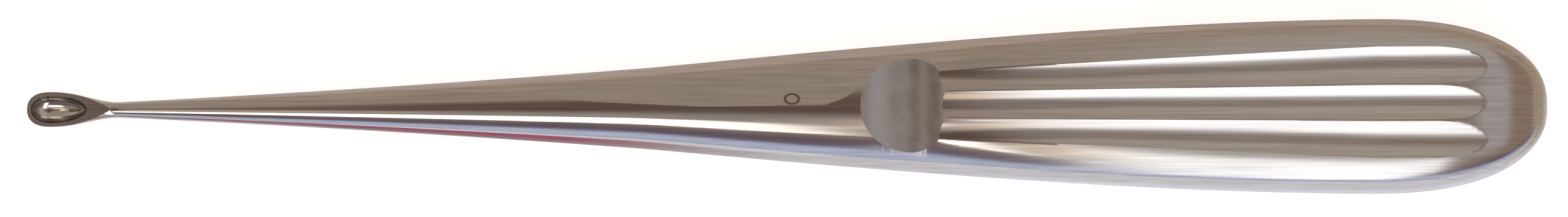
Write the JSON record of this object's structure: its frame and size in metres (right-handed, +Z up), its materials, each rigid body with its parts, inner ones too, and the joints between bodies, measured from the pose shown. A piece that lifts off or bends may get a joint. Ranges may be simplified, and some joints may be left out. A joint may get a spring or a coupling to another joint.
{
  "type": "bone curette",
  "caption": "Straight one-piece steel bone curette: a small sharp-rimmed oval spoon, a tapered shaft and a flattened fluted handle with a thumb rest.",
  "frame": {"origin": "on the surface it lies on, below the middle of its length and width", "axes": "+X along the length from the cup to the butt, +Y across the handle, +Z up, out of the mouth of the cup and the thumb rest"},
  "size_m": [0.17, 0.0192, 0.0123],
  "materials": {
    "steel": "satin, brushed along the length, with a blasted thumb rest and a polished cup"
  },
  "bodies": {
    "root": {"curette": "steel"}
  },
  "joints": []
}
